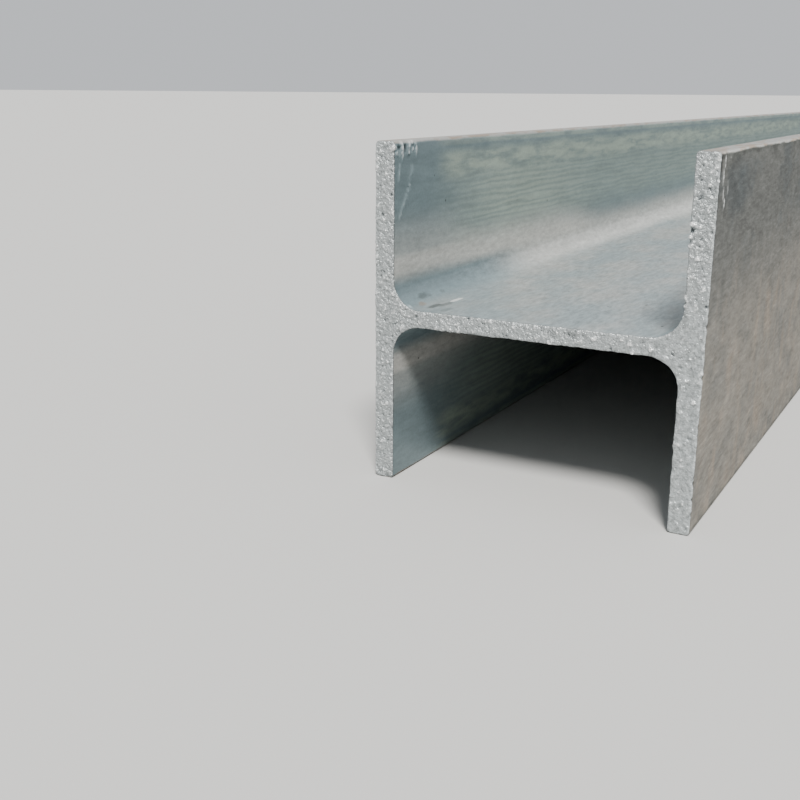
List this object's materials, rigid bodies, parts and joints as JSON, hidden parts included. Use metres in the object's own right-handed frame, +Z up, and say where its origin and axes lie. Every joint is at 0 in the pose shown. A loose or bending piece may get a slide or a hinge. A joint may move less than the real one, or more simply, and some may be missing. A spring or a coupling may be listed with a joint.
{
  "type": "steel h-beam",
  "caption": "Straight hot-dip galvanised steel H-section beam: two parallel flanges joined by a level web with rounded roots, both ends sawn square.",
  "frame": {"origin": "below the middle of the beam, on the surface that carries it", "axes": "+X along the beam's length, away from the sawn end that the picture shows; +Y across the section, at right angles to the flanges, towards the left flange of the picture; +Z up, along the flange width"},
  "size_m": [6, 0.097, 0.1],
  "materials": {
    "galvanised_steel": "hot-dip zinc, dull to satin blue-grey, granular on the sawn ends"
  },
  "bodies": {
    "root": {"h_beam": "galvanised_steel"}
  },
  "joints": []
}
